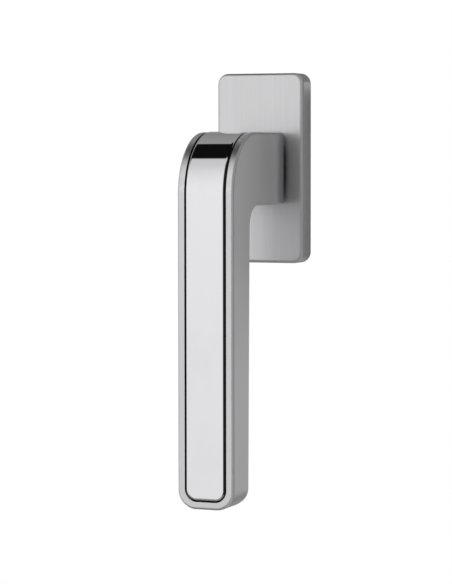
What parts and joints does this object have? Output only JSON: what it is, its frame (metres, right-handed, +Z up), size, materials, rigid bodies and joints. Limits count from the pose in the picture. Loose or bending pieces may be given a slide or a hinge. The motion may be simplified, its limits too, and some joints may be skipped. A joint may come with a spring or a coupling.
{
  "type": "tilt and turn window handle",
  "caption": "Straight lever window handle with a polished face strip, turning in a square-cornered detent rose with a square spindle and screw fixing behind.",
  "frame": {"origin": "on the turning axis of the lever, in the mounting plane at the back of the rose", "axes": "+X across the handle, +Y into the sash along the spindle, +Z up; at rest the grip hangs down, towards -Z"},
  "size_m": [0.034, 0.0934, 0.1552],
  "materials": {
    "satin_chrome": "satin chrome plating, finely brushed along the lever and upright on the rose",
    "polished_chrome": "mirror polished chrome plating",
    "die_cast": "as-cast zinc alloy",
    "zinc_plated_steel": "bright zinc plated",
    "spring_steel": "rolled, lightly oiled",
    "black_nylon": "moulded, fine texture",
    "white_acetal": "moulded, semi-matt",
    "foam_tape": "closed-cell adhesive foam"
  },
  "bodies": {
    "rose_base": {"base_plate": "die_cast", "neck_bush": "white_acetal", "detent_spring_left": "spring_steel", "detent_spring_right": "spring_steel", "housing_cap": "zinc_plated_steel", "cap_screws": "zinc_plated_steel", "cover_clip_upper": "spring_steel", "cover_clip_lower": "spring_steel", "fixing_screws": "zinc_plated_steel"},
    "rose_shell": {"rose_cover": "satin_chrome", "cover_liner": "black_nylon"},
    "lever": {"lever_body": "satin_chrome", "face_strip": "polished_chrome", "strip_tape": "foam_tape", "spindle": "zinc_plated_steel", "grub_screw": "spring_steel", "neck_ring": "black_nylon", "thrust_washer": "zinc_plated_steel", "detent_cam": "spring_steel", "wave_washer": "spring_steel", "circlip": "spring_steel"}
  },
  "joints": [
    {"name": "lever_turn", "type": "hinge", "parent": "rose_base", "child": "lever", "pos_m": [0, 0, 0], "axis": [0, 1, 0], "range_deg": [-180, 180], "deforming": ["detent_spring_left", "detent_spring_right"]},
    {"name": "cover_lift", "type": "slide", "parent": "rose_base", "child": "rose_shell", "axis": [0, -1, 0], "range_m": [0, 0.003]}
  ]
}
